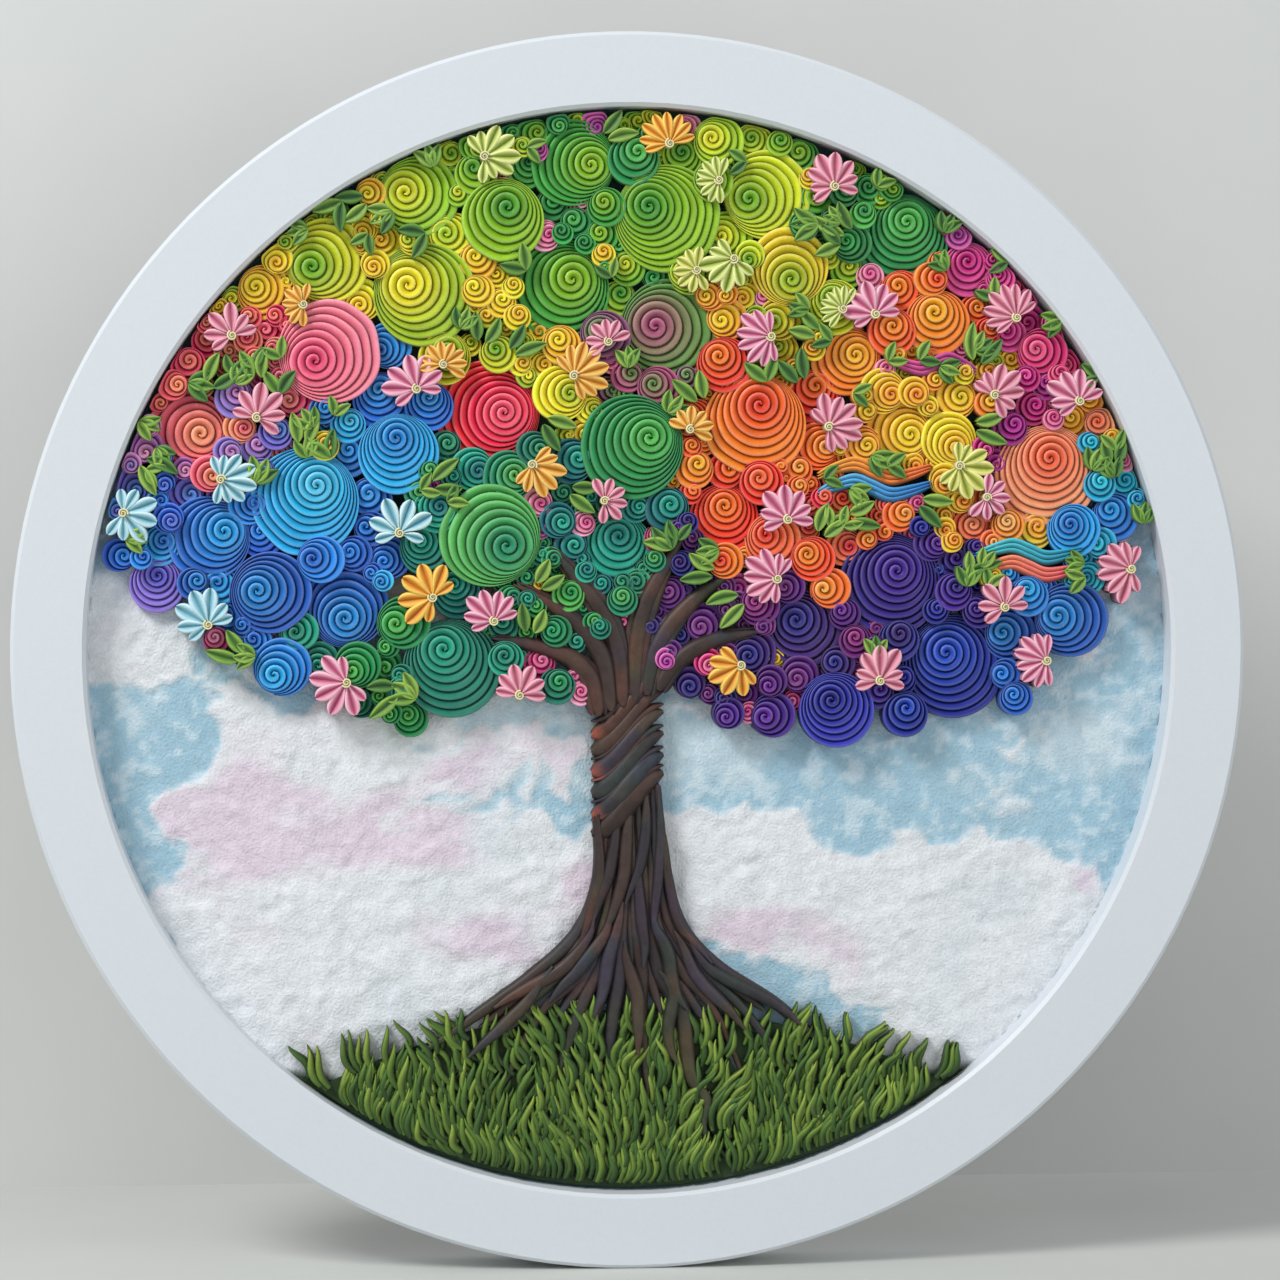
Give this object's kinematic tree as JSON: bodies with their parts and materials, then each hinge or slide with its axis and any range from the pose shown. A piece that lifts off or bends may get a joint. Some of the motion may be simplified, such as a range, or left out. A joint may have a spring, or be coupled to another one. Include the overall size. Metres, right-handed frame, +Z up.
{
  "type": "framed quilled paper picture",
  "caption": "Round deep white frame holding a relief tree of rolled and standing paper strips over a painted plaster sky.",
  "frame": {"origin": "centre of the round frame's back, in the plane that lies against the wall", "axes": "+Z up, +X to the viewer's right, +Y into the wall; the picture faces -Y"},
  "size_m": [0.3999, 0.026, 0.4],
  "materials": {
    "hardboard": "brown hardboard",
    "paper_bark": "matt",
    "plaster": "rough plaster",
    "paper_amber": "matt",
    "paper_azure": "matt",
    "paper_blue": "matt",
    "paper_coral": "matt",
    "paper_crimson": "matt",
    "paper_cyan": "matt",
    "paper_emerald": "matt",
    "paper_green": "matt",
    "paper_indigo": "matt",
    "paper_lilac": "matt",
    "paper_lime": "matt",
    "paper_magenta": "matt",
    "paper_mauve": "matt",
    "paper_orange": "matt",
    "paper_peach": "matt",
    "paper_pink": "matt",
    "paper_purple": "matt",
    "paper_rose": "matt",
    "paper_royal": "matt",
    "paper_teal": "matt",
    "paper_yellow": "matt",
    "paper_cream": "matt",
    "painted_wood": "white satin paint",
    "paper_olive": "matt",
    "paper_grass": "matt",
    "paper_dark_green": "matt",
    "paper_leaf": "matt",
    "painted_board": "pale blue plaster paint",
    "steel": "plain",
    "paper_aqua": "matt"
  },
  "bodies": {
    "root": {"back_board": "hardboard", "branches": "paper_bark", "cloud_plaster": "plaster", "coils_amber_right": "paper_amber", "coils_amber_upper": "paper_amber", "coils_azure_left": "paper_azure", "coils_blue_left": "paper_blue", "coils_blue_right": "paper_blue", "coils_coral_right": "paper_coral", "coils_crimson": "paper_crimson", "coils_cyan_right": "paper_cyan", "coils_emerald_left": "paper_emerald", "coils_emerald_low": "paper_emerald", "coils_green_centre": "paper_green", "coils_green_top": "paper_green", "coils_green_top_right": "paper_green", "coils_green_upper": "paper_green", "coils_indigo_low": "paper_indigo", "coils_indigo_right": "paper_indigo", "coils_lilac_left": "paper_lilac", "coils_lime_top_left": "paper_lime", "coils_lime_top_right": "paper_lime", "coils_magenta_right": "paper_magenta", "coils_mauve_centre": "paper_mauve", "coils_orange_centre": "paper_orange", "coils_orange_right": "paper_orange", "coils_peach_right": "paper_peach", "coils_pink_left": "paper_pink", "coils_purple_right": "paper_purple", "coils_rose_left": "paper_rose", "coils_royal_left": "paper_royal", "coils_teal_centre": "paper_teal", "coils_teal_left": "paper_teal", "coils_yellow_left": "paper_yellow", "coils_yellow_upper": "paper_yellow", "flower_eyes": "paper_cream", "flower_petals": "paper_pink", "frame_moulding": "painted_wood", "grass_blades_lower": "paper_olive", "grass_blades_upper": "paper_grass", "grass_hill": "paper_dark_green", "leaves": "paper_leaf", "root_strand_1": "paper_bark", "root_strand_10": "paper_bark", "root_strand_2": "paper_bark", "root_strand_3": "paper_bark", "root_strand_4": "paper_bark", "root_strand_5": "paper_bark", "root_strand_6": "paper_bark", "root_strand_7": "paper_bark", "root_strand_8": "paper_bark", "root_strand_9": "paper_bark", "sky_board": "painted_board", "steel_points": "steel", "trunk_twist": "paper_bark", "wavy_strips": "paper_aqua"}
  },
  "joints": []
}
